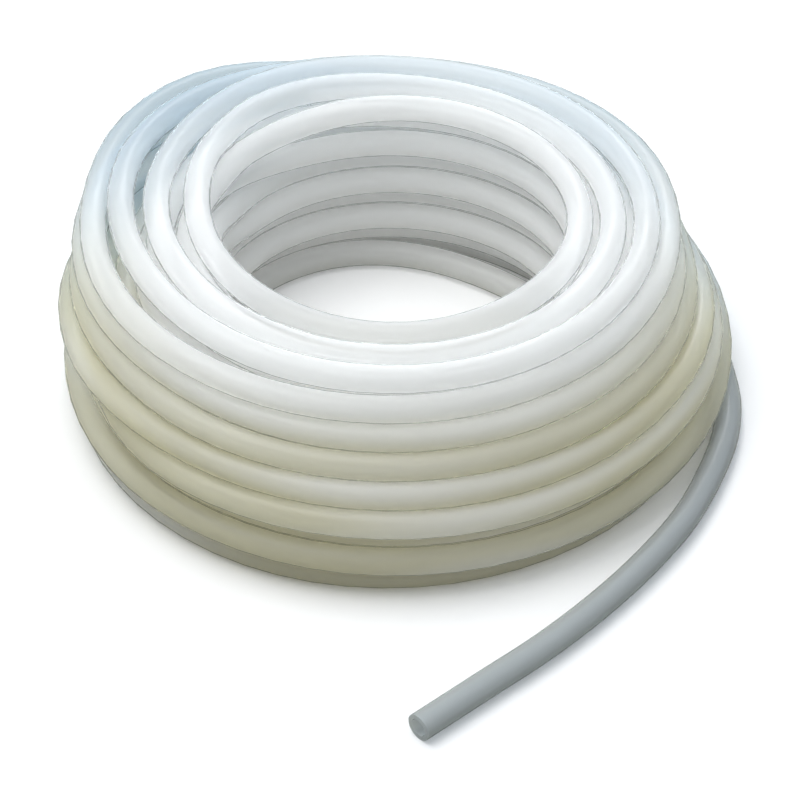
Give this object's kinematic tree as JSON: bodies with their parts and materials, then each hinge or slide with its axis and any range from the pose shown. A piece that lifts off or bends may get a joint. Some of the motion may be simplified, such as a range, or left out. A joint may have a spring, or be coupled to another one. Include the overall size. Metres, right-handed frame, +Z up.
{
  "type": "silicone tubing coil",
  "caption": "Round coil of translucent silicone tubing, nested turns round an open eye, with one end running out over the floor to a square-cut tip.",
  "frame": {"origin": "on the floor, at the axis of the coil", "axes": "+Z up along the coil's axis; the last turn leaves on the +X side and the free end runs towards -Y"},
  "size_m": [0.3002, 0.3786, 0.0934],
  "materials": {
    "silicone": "satin"
  },
  "bodies": {
    "root": {"coil": "silicone", "free_end": "silicone"}
  },
  "joints": []
}
